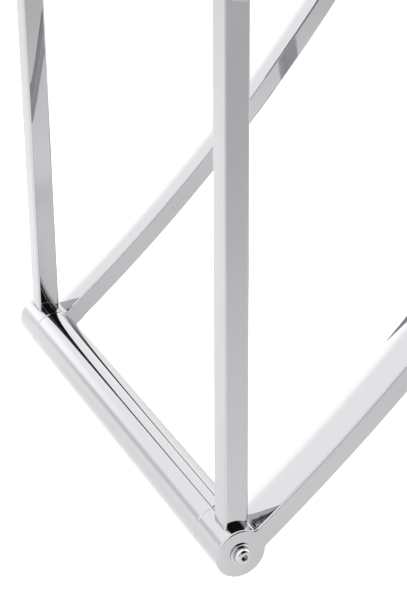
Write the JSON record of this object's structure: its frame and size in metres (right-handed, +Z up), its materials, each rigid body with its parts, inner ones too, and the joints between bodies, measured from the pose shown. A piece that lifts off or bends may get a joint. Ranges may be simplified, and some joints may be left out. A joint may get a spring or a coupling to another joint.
{
  "type": "valet stand",
  "caption": "Chrome valet stand with square posts, sweeping flat side arcs, a leather seat, a trouser bar, a jacket hanger and a lift-off tray.",
  "frame": {"origin": "on the floor, at the centre of the stand's outline", "axes": "+Z up, +Y towards the back, +X to the right of someone facing the front"},
  "size_m": [0.446, 0.6068, 1.1663],
  "materials": {
    "chrome": "mirror-polished plating",
    "screw_steel": "bright zinc-plated steel",
    "plug_metal": "turned, uncoated",
    "pad_plastic": "milky translucent soft plastic",
    "board_wood": "black-stained plywood",
    "seat_leather": "black leather, fine grain",
    "grip_rubber": "matte black sleeve",
    "hanger_wood": "dark walnut, satin lacquer"
  },
  "bodies": {
    "stand": {"end_plugs": "plug_metal", "end_screws": "screw_steel", "end_washers": "screw_steel", "foot_pad_front_left": "pad_plastic", "foot_pad_front_right": "pad_plastic", "foot_pad_rear_left": "pad_plastic", "foot_pad_rear_right": "pad_plastic", "front_base_hub_left": "chrome", "front_base_hub_right": "chrome", "front_base_tube": "chrome", "front_post_left": "chrome", "front_post_right": "chrome", "hanger_collar": "chrome", "hanger_stem": "chrome", "jacket_hanger": "hanger_wood", "lower_arc_left": "chrome", "lower_arc_right": "chrome", "rear_base_hub_left": "chrome", "rear_base_hub_right": "chrome", "rear_base_tube": "chrome", "rear_leg_left": "chrome", "rear_leg_right": "chrome", "seat_board": "board_wood", "seat_cushion": "seat_leather", "seat_front_hub_left": "chrome", "seat_front_hub_right": "chrome", "seat_front_tube": "chrome", "seat_rail_left": "chrome", "seat_rail_right": "chrome", "seat_rear_hub_left": "chrome", "seat_rear_hub_right": "chrome", "seat_rear_tube": "chrome", "seat_screws": "screw_steel", "seat_tab_front_left": "chrome", "seat_tab_front_right": "chrome", "seat_tab_rear_left": "chrome", "seat_tab_rear_right": "chrome", "top_hub_left": "chrome", "top_hub_right": "chrome", "top_tube": "chrome", "tray_pegs": "screw_steel", "tray_plate": "chrome", "trouser_bar": "chrome", "trouser_bar_screws": "screw_steel", "trouser_bar_sleeve": "grip_rubber", "trouser_bar_washers": "screw_steel", "upper_arc_left": "chrome", "upper_arc_right": "chrome"},
    "tray": {"tray_pan": "chrome", "tray_lining": "seat_leather"}
  },
  "joints": [
    {"name": "tray_lift", "type": "slide", "parent": "stand", "child": "tray", "axis": [0, 0, 1], "range_m": [0, 0.06]}
  ]
}
